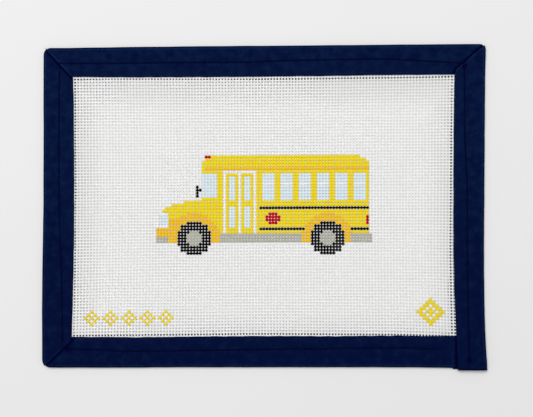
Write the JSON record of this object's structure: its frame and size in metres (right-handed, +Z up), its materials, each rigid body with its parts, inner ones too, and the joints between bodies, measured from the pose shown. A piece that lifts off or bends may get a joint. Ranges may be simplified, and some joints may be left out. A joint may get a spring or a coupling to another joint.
{
  "type": "bound needlepoint canvas",
  "caption": "Flat rectangular needlework canvas of open even weave with a painted picture of a yellow school bus and a folded, sewn navy cloth edge.",
  "frame": {"origin": "middle of the outline, on the surface that the bound canvas lies on", "axes": "+X to the picture's right, +Y to the picture's top, +Z up from the painted side"},
  "size_m": [0.206, 0.151, 0.003],
  "materials": {
    "canvas": "white sized cotton thread, matt",
    "binding": "navy cotton cloth, matt",
    "sewing_thread": "dark navy sewing thread",
    "paint_yellow": "matt acrylic paint, yellow",
    "paint_amber": "matt acrylic paint, amber",
    "paint_grey": "matt acrylic paint, warm grey",
    "paint_black": "matt acrylic paint, black",
    "paint_glass": "matt acrylic paint, pale blue",
    "paint_red": "matt acrylic paint, red"
  },
  "bodies": {
    "root": {"canvas_warp": "canvas", "canvas_weft": "canvas", "binding_left": "binding", "binding_top": "binding", "binding_right": "binding", "binding_bottom": "binding", "seam_left": "sewing_thread", "seam_top": "sewing_thread", "seam_right": "sewing_thread", "seam_bottom": "sewing_thread", "paint_yellow": "paint_yellow", "paint_amber": "paint_amber", "paint_grey": "paint_grey", "paint_black": "paint_black", "paint_glass": "paint_glass", "paint_red": "paint_red"}
  },
  "joints": []
}
